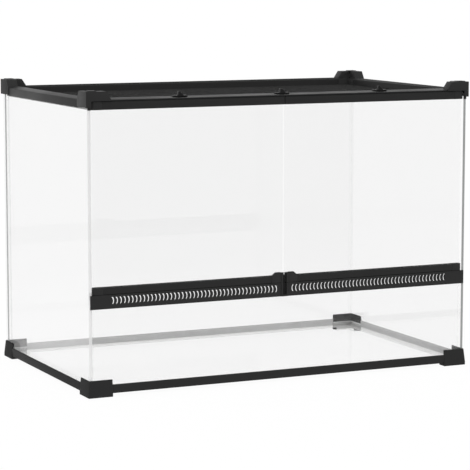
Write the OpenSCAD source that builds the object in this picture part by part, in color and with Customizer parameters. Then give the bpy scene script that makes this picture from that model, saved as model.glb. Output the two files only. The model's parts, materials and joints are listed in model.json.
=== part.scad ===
// Front-opening glass terrarium: a glass box in a black plastic frame, with two
// hinged doors over a slotted vent strip and a screen lid held by turn clips.
// Units are millimetres. The origin is the centre of the base, +X runs to the
// right along the front, +Y to the back and +Z up.
// A frame profile is drawn as (in, z): in is the distance from the outer face.

/* [Tank] */
// Width over the frame
tank_w = 500; // [420:1:620]
// Depth over the frame
tank_d = 300; // [220:1:460]
// Height over the pads of the top corners
tank_h = 352; // [300:1:600]

/* [Glass] */
// Thickness of the fixed panes
glass_t = 4; // [3:0.5:5]
// Thickness of the door panes
door_glass_t = 4; // [3:0.5:5]
// Gap between a pane and the plastic beside it
glass_gap = 0.1; // [0.05:0.05:0.2]
// Leg of the silicone beads
bead = 3; // [2:0.5:5]
// Height of the pane below the vent strip, from the base
sill_h = 105.9; // [70:0.1:140]

/* [Bottom frame] */
// Frame's outer face to the side and rear panes
skin_t = 2.4; // [2:0.1:4]
// Frame's outer face to the sill pane
front_set = 3.2; // [3:0.1:4]
// How far the rails stand back from the corners' faces
rail_setback = 0.8; // [0.2:0.1:1.2]
// Height of the bottom rails' underside above the ground
foot_h = 4; // [2:0.5:8]
// Height of the bottom rails
rail_h = 10; // [8:0.5:16]
// Thickness of the shelf under the panes
shelf_t = 1.6; // [1.2:0.1:2.5]
// Width of the shelf under the panes
shelf_w = 14; // [12:0.5:20]
// Height of the bottom corners
foot_corner_h = 20; // [16:0.5:30]
// Length of an arm of every corner
corner_arm = 30; // [26:0.5:45]
// Thickness of an arm of every corner
corner_t = 13; // [11:0.5:14]
// Lean of the bottom corners' outer faces
foot_draft = 1.6; // [0:0.1:2]
// Radius of the corners' outer upright edge
corner_r = 1.2; // [0.8:0.1:3]
// Depth of the hollow under each foot
foot_hollow = 2; // [1:0.5:3]

/* [Top frame] */
// Height of the top corners without their pads
top_corner_h = 18.3; // [17:0.1:26]
// Height of the pad on each top corner
pad_h = 0.8; // [0.4:0.1:2]
// Side of the pad on each top corner
pad_w = 10; // [6:0.5:10]
// How much shorter a top corner's arm is at its top
arm_slope = 6; // [2:0.5:10]
// Depth of the top rails
top_rail_w = 15; // [14:0.5:20]
// Tank top down to the top rails' outer edge
top_edge_drop = 10.5; // [9.5:0.1:13]
// Rise of the top rails' sloping face
top_rise = 1.7; // [1:0.1:3]
// Chamfer of the top rails' inner edge
top_chamfer = 1.8; // [0.6:0.1:2]
// Height of the top rails' outer wall
top_wall_h = 9.6; // [8:0.1:12]
// Wall of the top rails
top_wall_t = 1.7; // [1.2:0.1:2.2]
// Tank top down to the ledge under the lid
ledge_drop = 20.9; // [19.5:0.1:24]
// Reach of the ledge under the lid
ledge_w = 3.5; // [2:0.5:6]
// Thickness of the ledge under the lid
ledge_t = 1.2; // [1:0.1:3]

/* [Vent strip] */
// Height of the vent strip
strip_h = 16.2; // [15:0.1:24]
// How far the sill pane reaches into the strip
strip_grip = 3.6; // [2:0.1:4]
// Thickness of the strip's walls
strip_wall = 1.7; // [1.2:0.1:1.7]
// Thickness of the bar above the sill pane
strip_bar = 0.8; // [0.6:0.1:1.5]
// Height of the stop behind the doors' lower rails
stop_h = 2.3; // [1.5:0.1:4]
// Distance between two slots
slot_pitch = 4.83; // [4:0.01:8]
// Width of a slot
slot_w = 1.6; // [1:0.1:2.2]
// Height of a slot
slot_h = 8.6; // [6:0.1:9]
// Radius of a slot's curve
slot_r = 6.6; // [5:0.1:9]
// Tank centre to the first slot
slot_start = 10.2; // [9.5:0.1:20]
// Last slot to the end of the strip, at least
slot_margin = 25; // [20:1:60]
// Length of the hinge brackets behind the strip
bracket_w = 12; // [10:0.5:18]
// Depth of the hinge brackets behind the strip's front
bracket_d = 15; // [13:0.5:20]
// Height of the hinge brackets below the strip's top
bracket_h = 6.4; // [5:0.1:8]

/* [Doors] */
// Front of the doors behind the frame's outer face
door_set = 1.5; // [1.2:0.1:2]
// Thickness of the door rails
door_t = 8; // [7.5:0.5:8.5]
// Height of the doors' lower rails
lower_rail_h = 8.4; // [7:0.1:12]
// Height of the doors' upper rails
upper_rail_h = 9.8; // [8:0.1:13]
// How far a door pane stands in its rails
pane_grip = 4.5; // [3:0.1:5]
// How far a door pane stands behind the middle of its rails
pane_back = 0.4; // [0:0.1:0.5]
// Gap above and below the door rails
door_gap = 0.3; // [0.2:0.1:0.6]
// Gap between a door's hinge end and the side pane
hinge_gap = 0.3; // [0.3:0.1:0.8]
// Gap between a door rail and the stop behind it
stop_gap = 0.4; // [0.3:0.1:1]
// Half the gap between the two doors' plastic
seam_half = 0.4; // [0.3:0.1:1]
// Half the gap between the two door panes
pane_seam_half = 1.5; // [1:0.1:3]
// Radius of the hinge pins
pin_r = 1.3; // [1:0.1:1.6]
// How far a hinge pin reaches into its socket
pin_reach = 5; // [3:0.1:5.2]
// Radial clearance of a pin in its socket
pin_gap = 0.08; // [0.04:0.01:0.1]
// Length of the hinge knuckles
knuckle_w = 13; // [10:0.5:20]

/* [Door pulls and lock] */
// Length of a door pull
pull_w = 16.7; // [14:0.1:24]
// Height of a pull above its rail
pull_rise = 4.1; // [2:0.1:8]
// Length of the pull's sloping shoulder
pull_shoulder = 5.8; // [3:0.1:8]
// How far a pull stands out from its rail
pull_proud = 0.9; // [0.4:0.1:1.3]
// Half the width of the lock channel
channel_half = 2.4; // [2:0.1:3]
// Width of the ridges beside the lock channel
ridge_w = 2; // [1.5:0.1:3]
// Wall left beside the lock slide in a ridge
lip_wall = 0.6; // [0.4:0.1:1]
// Thickness of the lock slide
slide_t = 1.2; // [1:0.1:1.5]
// Clearance round the lock slide
slide_gap = 0.2; // [0.1:0.05:0.3]
// Travel of the lock slide
slide_travel = 9; // [6:0.5:9]

/* [Lid] */
// Gap between the lid and the frame
lid_gap = 0.4; // [0.3:0.1:1]
// Lid resting height above its ledge
lid_seat_gap = 0.2; // [0.1:0.05:0.3]
// Width of the lid's frame
lid_frame_w = 9; // [8:0.5:14]
// Thickness of the lid frame's base
lid_base_t = 2.4; // [2.2:0.1:4]
// Thickness of the lid frame's outer wall
lid_wall_t = 2; // [1.5:0.1:3]
// Length of an arm of the lid's corners
lid_corner_arm = 16; // [12:1:30]
// Radius of the cord that holds the screen
spline_r = 0.8; // [0.6:0.1:0.9]
// Thickness of the screen
screen_t = 0.5; // [0.4:0.1:1]
// Width of the screen's bars
screen_bar = 1.2; // [0.8:0.1:2]
// Screen openings along the width
screen_cols = 20; // [8:1:22]
// Screen openings along the depth
screen_rows = 12; // [6:1:13]

/* [Turn clips] */
// Distance between two clips
clip_pitch = 131; // [60:1:180]
// Half the length of a clip
clip_half = 9; // [7:0.5:10]
// Clip pivot to its outer side
clip_out = 4; // [3:0.1:5]
// Clip pivot to its side facing the lid
clip_in = 2.2; // [1.9:0.1:2.2]
// Thickness of a clip's plate
clip_t = 2; // [1.5:0.1:3]
// Height of a clip's grip above its plate
clip_grip_h = 4.4; // [2:0.1:6]
// Clearance under a clip
clip_gap = 0.2; // [0.1:0.05:0.3]
// Radius of a clip's post
post_r = 1.4; // [1:0.1:1.6]
// Depth of a clip's post
post_h = 6; // [4:0.5:7]

/* [Hidden] */

$fn = 48;
EPS = 0.01;         // overlap that keeps a cut from leaving a skin
FAR = 100;          // longer than any cut has to be

plastic = "#303030";
plastic_dark = "#262626";
pane = "#eef4f2";
silicone = "#c9cccb";
steel = "#b4b6b8";
screen_black = "#2c2c2c";

half_w = tank_w / 2;
half_d = tank_d / 2;

// Heights of the glass box
glass_z = foot_h + shelf_t;
floor_top = glass_z + glass_t;
rail_edge_z = tank_h - top_edge_drop;
rail_slope = top_rise / top_rail_w;
glass_top = rail_edge_z - top_wall_t - glass_gap;
pane_in = skin_t + glass_t;
front_pane_in = front_set + glass_t;

// Heights of the top frame
top_rail_z = rail_edge_z - top_wall_h;
top_corner_z = tank_h - pad_h - top_corner_h;
ledge_z = tank_h - ledge_drop;
arm_mid = corner_arm - arm_slope;

// Heights of the vent strip and the doors
strip_z = sill_h - strip_grip;
strip_top = strip_z + strip_h;
bar_z = sill_h + glass_gap;
slot_z = (bar_z + strip_bar + strip_top - strip_wall) / 2 - 0.3;
door_in = door_set + door_t;
door_z = strip_top + door_gap;
door_top = rail_edge_z - top_wall_t * 0.75 - door_gap;
door_deck_z = door_top + door_gap;
pane_low = door_z + lower_rail_h - pane_grip;
pane_high = door_top - upper_rail_h + pane_grip + 0.8;
barrel_r = door_t / 2;
axis_in = door_set + barrel_r;
side_in = pane_in + hinge_gap;
axis_side = side_in + barrel_r;
door_pane_in = axis_in + pane_back - door_glass_t / 2;
stop_in = door_in + stop_gap;
stop_out = stop_in + strip_wall;

// Slots of one half of the strip
slot_run = half_w - pane_in - slot_margin - slot_start;
slot_count = floor(slot_run / slot_pitch) + 1;

// Lock channel and its slide
ridge_in = door_set - pull_proud;
lobe_in = ridge_in + 0.4;
lobe_back = door_pane_in - glass_gap;
ridge_top = door_z + lower_rail_h + pull_rise - 0.4;
slide_in = front_set - glass_gap - slide_gap - slide_t;
channel_floor = slide_in + slide_t + slide_gap;
slide_z = strip_z + 2.2;
slide_base_h = strip_h - strip_wall - 2.2 - slide_travel - slide_gap;
cavity_half = channel_half + ridge_w - lip_wall;
slide_base_half = cavity_half - slide_gap;
boss_half = channel_half + ridge_w + 1.8;

// Lid
lid_half_w = half_w - top_rail_w - lid_gap;
lid_half_d = half_d - top_rail_w - lid_gap;
lid_z = ledge_z + lid_seat_gap;
lid_deck_z = lid_z + lid_base_t;
screen_z = lid_deck_z;
groove_in = lid_wall_t + 2;
groove_w = 2 * spline_r + 0.2;
groove_z = lid_deck_z - 2 * spline_r - 0.2;
screen_in = lid_wall_t + 0.6;
screen_half_w = lid_half_w - screen_in;
screen_half_d = lid_half_d - screen_in;

// Clips
clip_axis_in = top_rail_w - clip_in - slide_gap;
clip_floor = rail_edge_z + 0.1;
clip_z = clip_floor + clip_gap;
clip_swing = norm([clip_half, clip_out]) + 0.4;
lid_top = clip_z - 0.3;

// A profile (in, z) run along the front, the back or a side of the tank.
module run_front(length) {
    translate([0, -half_d, 0]) rotate([90, 0, 90])
        linear_extrude(length, center = true) children();
}
module run_rear(length) {
    mirror([0, 1, 0]) run_front(length) children();
}
module run_left(length) {
    translate([-half_w, 0, 0]) rotate([90, 0, 0])
        linear_extrude(length, center = true) children();
}
module run_right(length) {
    mirror([1, 0, 0]) run_left(length) children();
}

// A piece drawn inwards from a corner of the tank, set at one of the four.
module at_corner(right, rear) {
    mirror([right ? 1 : 0, 0, 0]) mirror([0, rear ? 1 : 0, 0])
        translate([-half_w, -half_d, 0]) children();
}

// Plan of a corner: two arms with a round outer edge.
module corner_plan(arm, thick, edge_r) {
    translate([edge_r, 0]) square([arm - edge_r, thick]);
    translate([0, edge_r]) square([thick, arm - edge_r]);
    translate([edge_r, edge_r]) circle(edge_r);
}
module arm_plan(arm, from, thick) {
    translate([from, from]) square([arm - from, thick]);
    translate([from, from]) square([thick, arm - from]);
}

// Bottom frame
module bottom_rail_profile(wall_in) {
    chamfer = 0.9;
    top = foot_h + rail_h;
    polygon([
        [rail_setback, foot_h], [shelf_w, foot_h], [shelf_w, glass_z], [wall_in, glass_z],
        [wall_in, top], [rail_setback + chamfer, top], [rail_setback, top - chamfer]
    ]);
}
module bottom_rail_front() {
    color(plastic) run_front(tank_w - 2 * corner_arm) bottom_rail_profile(front_set);
}
module bottom_rail_rear() {
    color(plastic) run_rear(tank_w - 2 * corner_arm) bottom_rail_profile(skin_t);
}
module bottom_rail_left() {
    color(plastic) run_left(tank_d - 2 * corner_arm) bottom_rail_profile(skin_t);
}
module bottom_rail_right() {
    color(plastic) run_right(tank_d - 2 * corner_arm) bottom_rail_profile(skin_t);
}

// A foot with leaning outer faces, cut away inside for the panes and hollow below.
module foot_plan(inset) {
    size = corner_arm - inset;
    translate([inset, inset]) {
        translate([corner_r, 0]) square([size - corner_r, size]);
        translate([0, corner_r]) square([size, size - corner_r]);
        translate([corner_r, corner_r]) circle(corner_r);
    }
}
module bottom_corner(front_in) {
    slab = 0.1;
    rim = 2;
    difference() {
        hull() {
            linear_extrude(foot_h) foot_plan(0);
            translate([0, 0, foot_corner_h - slab]) linear_extrude(slab) foot_plan(foot_draft);
        }
        translate([corner_t, corner_t, -EPS]) cube([FAR, FAR, FAR]);
        translate([skin_t, front_in, glass_z]) cube([FAR, FAR, FAR]);
        translate([0, 0, -EPS]) linear_extrude(foot_hollow)
            arm_plan(corner_arm - rim, rim, corner_t - 2 * rim);
    }
}
module bottom_corner_front_left() {
    color(plastic) at_corner(false, false) bottom_corner(front_set);
}
module bottom_corner_front_right() {
    color(plastic) at_corner(true, false) bottom_corner(front_set);
}
module bottom_corner_rear_left() {
    color(plastic) at_corner(false, true) bottom_corner(skin_t);
}
module bottom_corner_rear_right() {
    color(plastic) at_corner(true, true) bottom_corner(skin_t);
}

// Glass box
module floor_glass() {
    width = tank_w - 2 * (pane_in + glass_gap);
    depth = tank_d - front_pane_in - pane_in - 2 * glass_gap;
    color(pane, 0.3)
        translate([-width / 2, -half_d + front_pane_in + glass_gap, glass_z])
            cube([width, depth, glass_t]);
}
module side_glass_left() {
    color(pane, 0.3)
        translate([-half_w + skin_t, -half_d + front_set, glass_z])
            cube([glass_t, tank_d - front_set - pane_in - glass_gap, glass_top - glass_z]);
}
module side_glass_right() {
    color(pane, 0.3) mirror([1, 0, 0]) side_glass_left();
}
// The rear pane closes the box across the side panes' rear edges.
module rear_glass() {
    width = tank_w - 2 * skin_t;
    color(pane, 0.3)
        translate([-width / 2, half_d - pane_in, glass_z])
            cube([width, glass_t, glass_top - glass_z]);
}
module sill_glass() {
    width = tank_w - 2 * (pane_in + glass_gap);
    color(pane, 0.3)
        translate([-width / 2, -half_d + front_set, glass_z])
            cube([width, glass_t, sill_h - glass_z]);
}

// Silicone beads: along the floor and up the inner corners.
module bead_profile(from_in) {
    polygon([[from_in, floor_top], [from_in + bead, floor_top], [from_in, floor_top + bead]]);
}
module floor_seal() {
    along = tank_w - 2 * pane_in;
    color(silicone) {
        run_front(along) bead_profile(front_pane_in);
        run_rear(along) bead_profile(pane_in);
        intersection() {
            union() {
                run_left(tank_d) bead_profile(pane_in);
                run_right(tank_d) bead_profile(pane_in);
            }
            translate([-half_w, -half_d + front_pane_in, 0])
                cube([tank_w, tank_d - front_pane_in - pane_in, tank_h]);
        }
    }
}
module corner_bead(front_in, low, high) {
    translate([pane_in, front_in, low]) linear_extrude(high - low)
        polygon([[0, 0], [bead, 0], [0, bead]]);
}
module corner_seals() {
    low = floor_top + bead;
    color(silicone) {
        for (right = [false, true]) {
            at_corner(right, false) corner_bead(front_pane_in, low, strip_z - 0.5);
            at_corner(right, true) corner_bead(pane_in, low, ledge_z - ledge_t - 0.5);
        }
    }
}

// Vent strip: a front wall full of slots, a bar over the sill pane, and a flange
// with a stop behind the doors. The slots of both halves bulge to the middle.
module slot_plan() {
    intersection() {
        difference() {
            circle(slot_r + slot_w / 2);
            circle(slot_r - slot_w / 2);
        }
        translate([0, -slot_h / 2]) square([2 * slot_r, slot_h]);
    }
}
module slot_rows() {
    for (side = [0, 1], i = [0 : slot_count - 1])
        mirror([side, 0, 0])
            translate([-slot_start - i * slot_pitch - slot_r, 0, 0]) slot_plan();
}
module strip_profile() {
    lip_in = front_pane_in + glass_gap;
    polygon([
        [door_set, strip_z], [front_set - glass_gap, strip_z], [front_set - glass_gap, bar_z],
        [lip_in, bar_z], [lip_in, strip_z], [lip_in + strip_wall, strip_z],
        [lip_in + strip_wall, bar_z + strip_bar], [front_set, bar_z + strip_bar],
        [front_set, strip_top - strip_wall], [stop_out, strip_top - strip_wall],
        [stop_out, strip_top + stop_h], [stop_in, strip_top + stop_h], [stop_in, strip_top],
        [door_set, strip_top]
    ]);
}
// Housing of the lock slide: proud ridges in front, a back wall above the pane.
module lock_housing() {
    ridge_half = channel_half + ridge_w;
    back_h = strip_top - bar_z;
    translate([-ridge_half, -half_d + ridge_in, strip_z])
        cube([2 * ridge_half, door_set + EPS - ridge_in, strip_h]);
    translate([-boss_half, -half_d + door_set, bar_z])
        cube([2 * boss_half, channel_floor + strip_wall - door_set, back_h]);
}
module lock_cut() {
    cavity_h = strip_h - strip_wall - 2;
    translate([-channel_half, -half_d - EPS, strip_z + 2])
        cube([2 * channel_half, channel_floor + EPS, FAR]);
    translate([-cavity_half, -half_d + slide_in - slide_gap, strip_z + 2])
        cube([2 * cavity_half, slide_t + 2 * slide_gap, cavity_h]);
}
module vent_strip() {
    body_w = tank_w - 2 * (pane_in + glass_gap);
    face_w = tank_w - 2 * (skin_t + 1.3);
    color(plastic) difference() {
        union() {
            run_front(body_w) strip_profile();
            translate([-face_w / 2, -half_d + door_set, strip_z])
                cube([face_w, front_set - glass_gap - door_set, strip_h]);
            lock_housing();
        }
        translate([0, -half_d + front_set + EPS, slot_z]) rotate([90, 0, 0])
            linear_extrude(front_set - door_set + 2 * EPS) slot_rows();
        lock_cut();
        for (right = [false, true])
            at_corner(right, false) translate([axis_side, axis_in, strip_top - strip_wall - 1])
                cylinder(h = FAR / 10, r = pin_r + 4 * pin_gap);
    }
}
// Hinge bracket: sits under the strip's flange against the side pane and carries
// the socket of the door's lower pin.
module hinge_bracket() {
    low = strip_top - bracket_h;
    flange = strip_top - strip_wall;
    difference() {
        union() {
            translate([pane_in + glass_gap, front_set + glass_gap, low])
                cube([bracket_w, bracket_d - front_set, flange - low]);
            translate([pane_in + glass_gap, stop_out, low])
                cube([bracket_w, bracket_d - stop_out + glass_gap, bracket_h + stop_h - 0.6]);
        }
        translate([axis_side, axis_in, low - EPS]) cylinder(h = FAR / 10, r = pin_r + pin_gap);
    }
}
module hinge_bracket_left() {
    color(plastic) at_corner(false, false) hinge_bracket();
}
module hinge_bracket_right() {
    color(plastic) at_corner(true, false) hinge_bracket();
}
// Lock slide: a ribbed tongue that rises between the two pulls.
module lock_slide() {
    tongue_half = channel_half - slide_gap;
    tongue_z = slide_z + slide_base_h;
    nub_h = 0.8;
    color(plastic_dark) translate([-tongue_half, -half_d + slide_in, tongue_z]) {
        cube([2 * tongue_half, slide_t, strip_top - slide_gap - tongue_z]);
        for (i = [0 : 2])
            translate([0, -0.6, 1 + i * 2 * nub_h]) cube([2 * tongue_half, 0.6 + EPS, nub_h]);
    }
}
// Foot of the lock slide: wider than the tongue, so that the ridges hold it.
module lock_foot() {
    color(plastic_dark) translate([-slide_base_half, -half_d + slide_in, slide_z])
        cube([2 * slide_base_half, slide_t, slide_base_h]);
}

// Top frame
module top_rail_profile() {
    groove_out = pane_in + glass_gap;
    groove_top = glass_top + glass_gap;
    inner_wall = top_rail_w - top_wall_t;
    lip = groove_out + top_wall_t;
    difference() {
        polygon([
            [rail_setback, top_rail_z], [rail_setback, rail_edge_z - 0.6],
            [rail_setback + 0.6, rail_edge_z], [top_rail_w - top_chamfer, rail_edge_z + top_rise],
            [top_rail_w, rail_edge_z + top_rise - top_chamfer], [top_rail_w, ledge_z],
            [top_rail_w + ledge_w, ledge_z], [top_rail_w + ledge_w, ledge_z - ledge_t],
            [groove_out, ledge_z - ledge_t], [groove_out, groove_top],
            [skin_t - glass_gap, groove_top], [skin_t - glass_gap, top_rail_z]
        ]);
        polygon([
            [lip, ledge_z], [lip, rail_edge_z - top_wall_t + rail_slope * lip],
            [inner_wall, rail_edge_z - top_wall_t + rail_slope * inner_wall],
            [inner_wall, ledge_z]
        ]);
    }
}
// The front rail has no pane: its deck covers the doors and its web is their stop.
module front_rail_profile() {
    polygon([
        [rail_setback, door_deck_z], [rail_setback, rail_edge_z - 0.4],
        [rail_setback + 0.4, rail_edge_z], [top_rail_w - top_chamfer, rail_edge_z + top_rise],
        [top_rail_w, rail_edge_z + top_rise - top_chamfer], [top_rail_w, ledge_z],
        [top_rail_w + ledge_w, ledge_z], [top_rail_w + ledge_w, ledge_z - ledge_t],
        [stop_in, ledge_z - ledge_t], [stop_in, door_deck_z]
    ]);
}
module clip_seat() {
    translate([0, -half_d + clip_axis_in, 0]) {
        translate([0, 0, clip_floor]) cylinder(h = FAR, r = clip_swing);
        translate([0, 0, clip_floor - post_h - 0.4]) cylinder(h = FAR, r = post_r + pin_gap);
    }
}
module top_rail_front() {
    color(plastic) difference() {
        run_front(tank_w - 2 * corner_arm) front_rail_profile();
        for (i = [-1 : 1]) translate([i * clip_pitch, 0, 0]) clip_seat();
    }
}
module top_rail_rear() {
    color(plastic) run_rear(tank_w - 2 * corner_arm) top_rail_profile();
}
module top_rail_left() {
    color(plastic) run_left(tank_d - 2 * corner_arm) top_rail_profile();
}
module top_rail_right() {
    color(plastic) run_right(tank_d - 2 * corner_arm) top_rail_profile();
}

// Top corner: a raised wall on two arms with sloping ends and a pad, over the
// same ledge and pane groove as the rails.
module arm_end_cut() {
    top = tank_h;
    shoulder = rail_edge_z + top_rise - 1;
    translate([0, -EPS, 0]) rotate([90, 0, 0]) mirror([0, 0, 1])
        linear_extrude(corner_t + 1) polygon([
            [arm_mid, top - pad_h], [corner_arm + EPS, shoulder],
            [corner_arm + 1, shoulder], [corner_arm + 1, top], [arm_mid, top]
        ]);
}
module top_corner(front_in) {
    inner_top = rail_edge_z + top_rise - top_chamfer;
    groove_w_glass = glass_t + 2 * glass_gap;
    difference() {
        union() {
            translate([0, 0, top_corner_z])
                linear_extrude(top_corner_h) corner_plan(corner_arm, corner_t, corner_r);
            translate([0, 0, ledge_z - ledge_t]) linear_extrude(inner_top - ledge_z + ledge_t)
                arm_plan(corner_arm, skin_t, top_rail_w - skin_t);
            translate([0, 0, ledge_z - ledge_t]) linear_extrude(ledge_t)
                arm_plan(corner_arm, skin_t, top_rail_w + ledge_w - skin_t);
            translate([3.5, 3.5, tank_h - pad_h - EPS]) cube([pad_w, pad_w, pad_h + EPS]);
        }
        arm_end_cut();
        mirror([1, -1, 0]) arm_end_cut();
        translate([skin_t - glass_gap, front_in - glass_gap, ledge_z - FAR])
            cube([groove_w_glass, FAR, glass_top + glass_gap - ledge_z + FAR]);
        children();
    }
}
module rear_groove_cut() {
    translate([skin_t - glass_gap, skin_t - glass_gap, ledge_z - FAR])
        cube([FAR, glass_t + 2 * glass_gap, glass_top + glass_gap - ledge_z + FAR]);
}
module door_room_cut() {
    translate([pane_in - glass_gap, -EPS, ledge_z - FAR])
        cube([FAR, stop_in + EPS, door_deck_z - ledge_z + FAR]);
    translate([axis_side, axis_in, door_deck_z - 1])
        cylinder(h = 1 + pin_reach + 0.3, r = pin_r + pin_gap);
}
module top_corner_front_left() {
    color(plastic) at_corner(false, false) top_corner(front_set) door_room_cut();
}
module top_corner_front_right() {
    color(plastic) at_corner(true, false) top_corner(front_set) door_room_cut();
}
module top_corner_rear_left() {
    color(plastic) at_corner(false, true) top_corner(skin_t) rear_groove_cut();
}
module top_corner_rear_right() {
    color(plastic) at_corner(true, true) top_corner(skin_t) rear_groove_cut();
}

// Doors, drawn on the left side and mirrored for the right.
module door_glass() {
    low_x = -half_w + side_in + 1.6;
    translate([low_x, -half_d + door_pane_in, pane_low])
        cube([-pane_seam_half - low_x, door_glass_t, pane_high - pane_low]);
}
module door_section(bottom, height, groove_low, groove_high) {
    edge = 0.5;
    slot = door_glass_t / 2 + glass_gap;
    difference() {
        polygon([
            [door_set + edge, bottom], [door_in - edge, bottom], [door_in, bottom + edge],
            [door_in, bottom + height - edge], [door_in - edge, bottom + height],
            [door_set + edge, bottom + height], [door_set, bottom + height - edge],
            [door_set, bottom + edge]
        ]);
        translate([axis_in + pane_back - slot, groove_low])
            square([2 * slot, groove_high - groove_low]);
    }
}
module lower_section() {
    door_section(door_z, lower_rail_h, pane_low, door_z + lower_rail_h + 1);
}
module upper_section() {
    door_section(door_top - upper_rail_h, upper_rail_h, door_top - upper_rail_h - 1, pane_high);
}
module door_run(from_x, to_x) {
    translate([(from_x + to_x) / 2, 0, 0]) run_front(to_x - from_x) children();
}
knuckle_end = -half_w + axis_side + knuckle_w - barrel_r;
module door_upper_rail() {
    door_run(knuckle_end, -seam_half) upper_section();
}
module door_lower_rail() {
    door_run(knuckle_end, -seam_half - pull_w) lower_section();
}
// A knuckle: the rail's own section with a round end about the hinge axis and
// a hole for the pin beyond the pane's edge.
module door_knuckle(bottom, height, groove_low, groove_high, pin_from, pin_to) {
    slot = door_glass_t / 2 + glass_gap;
    axis_x = -half_w + axis_side;
    axis_y = -half_d + axis_in;
    difference() {
        union() {
            translate([axis_x, axis_y, bottom]) cylinder(h = height, r = barrel_r);
            door_run(axis_x, knuckle_end) translate([door_set, bottom]) square([door_t, height]);
        }
        translate([-half_w + side_in + 1.4, axis_y + pane_back - slot, groove_low])
            cube([knuckle_w + 1, 2 * slot, groove_high - groove_low]);
        translate([axis_x, axis_y, pin_from]) cylinder(h = pin_to - pin_from, r = pin_r);
    }
}
module door_upper_knuckle() {
    bottom = door_top - upper_rail_h;
    door_knuckle(bottom, upper_rail_h, bottom - 1, pane_high, pane_high - EPS, door_top + 1);
}
module door_lower_knuckle() {
    top = door_z + lower_rail_h;
    door_knuckle(door_z, lower_rail_h, pane_low, top + 1, door_z - 1, pane_low + EPS);
}
module door_pins() {
    translate([-half_w + axis_side, -half_d + axis_in, 0]) {
        translate([0, 0, pane_high]) hinge_pin(door_top + door_gap + pin_reach - pane_high);
        translate([0, 0, pane_low]) mirror([0, 0, 1])
            hinge_pin(pane_low - strip_top + pin_reach + door_gap);
    }
}
// A pin with a bevelled free end.
module hinge_pin(length) {
    bevel = 0.4;
    rotate_extrude() polygon([
        [0, 0], [pin_r, 0], [pin_r, length - bevel], [pin_r - bevel, length], [0, length]
    ]);
}
// A pull: closes the lower rail's free end, with a proud lobe above the rail and a
// ridge beside the lock channel.
module lobe_plan(inset) {
    left = -pull_w - seam_half + inset;
    right = -channel_half - ridge_w - inset;
    low = door_z + inset;
    high = door_z + lower_rail_h + pull_rise - inset;
    hull() {
        translate([left, low]) square([right - left, 1]);
        translate([left, low]) square([1, lower_rail_h - inset]);
        translate([left + pull_shoulder, high - 2]) circle(2);
        translate([right - 1, high - 1]) circle(1);
    }
}
module door_pull() {
    difference() {
        union() {
            door_run(-seam_half - pull_w, -channel_half)
                translate([door_set, door_z]) square([door_t, lower_rail_h]);
            hull() {
                translate([0, -half_d + lobe_back, 0]) rotate([90, 0, 0])
                    linear_extrude(lobe_back - lobe_in - 0.6) lobe_plan(0);
                translate([0, -half_d + lobe_in + 0.1, 0]) rotate([90, 0, 0])
                    linear_extrude(0.1) lobe_plan(0.8);
            }
            translate([-channel_half - ridge_w - 0.3, -half_d + ridge_in, door_z])
                cube([ridge_w + 0.3, lobe_back - ridge_in, ridge_top - door_z]);
        }
        pull_pane_slot();
    }
}
module pull_pane_slot() {
    translate([-pull_w - 2, -half_d + lobe_back, pane_low])
        cube([pull_w + 2 - pane_seam_half + glass_gap, door_glass_t + 2 * glass_gap, FAR]);
}
// A meeting block: stands behind the lock channel at the pull's end, with a thin
// web in front of the pane, and closes the gap between the doors.
module door_meeting() {
    difference() {
        union() {
            door_run(-channel_half, -seam_half) translate([channel_floor, door_z])
                square([door_set + door_t - channel_floor, lower_rail_h]);
            translate([-channel_half, -half_d + channel_floor, door_z])
                cube([channel_half - seam_half, lobe_back - channel_floor, ridge_top - door_z]);
        }
        pull_pane_slot();
    }
}

module left_door_glass() { color(pane, 0.3) door_glass(); }
module left_door_upper_rail() { color(plastic) door_upper_rail(); }
module left_door_lower_rail() { color(plastic) door_lower_rail(); }
module left_door_upper_knuckle() { color(plastic) door_upper_knuckle(); }
module left_door_lower_knuckle() { color(plastic) door_lower_knuckle(); }
module left_door_pins() { color(steel) door_pins(); }
module left_door_pull() { color(plastic) door_pull(); }
module left_door_meeting() { color(plastic) door_meeting(); }
module right_door_glass() { color(pane, 0.3) mirror([1, 0, 0]) door_glass(); }
module right_door_upper_rail() { color(plastic) mirror([1, 0, 0]) door_upper_rail(); }
module right_door_lower_rail() { color(plastic) mirror([1, 0, 0]) door_lower_rail(); }
module right_door_upper_knuckle() { color(plastic) mirror([1, 0, 0]) door_upper_knuckle(); }
module right_door_lower_knuckle() { color(plastic) mirror([1, 0, 0]) door_lower_knuckle(); }
module right_door_pins() { color(steel) mirror([1, 0, 0]) door_pins(); }
module right_door_pull() { color(plastic) mirror([1, 0, 0]) door_pull(); }
module right_door_meeting() { color(plastic) mirror([1, 0, 0]) door_meeting(); }

// Lid: a tray-shaped frame whose base carries the screen and its cord.
module lid_profile() {
    start = top_rail_w + lid_gap;
    polygon([
        [start, lid_z], [start + lid_frame_w, lid_z], [start + lid_frame_w, lid_deck_z],
        [start + groove_in + groove_w, lid_deck_z], [start + groove_in + groove_w, groove_z],
        [start + groove_in, groove_z], [start + groove_in, lid_deck_z],
        [start + lid_wall_t, lid_deck_z], [start + lid_wall_t, lid_top - 0.5],
        [start + lid_wall_t - 0.5, lid_top], [start + 0.5, lid_top], [start, lid_top - 0.5]
    ]);
}
lid_run_w = 2 * (lid_half_w - lid_corner_arm);
lid_run_d = 2 * (lid_half_d - lid_corner_arm);
module lid_rail_front() { color(screen_black) run_front(lid_run_w) lid_profile(); }
module lid_rail_rear() { color(screen_black) run_rear(lid_run_w) lid_profile(); }
module lid_rail_left() { color(screen_black) run_left(lid_run_d) lid_profile(); }
module lid_rail_right() { color(screen_black) run_right(lid_run_d) lid_profile(); }
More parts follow.
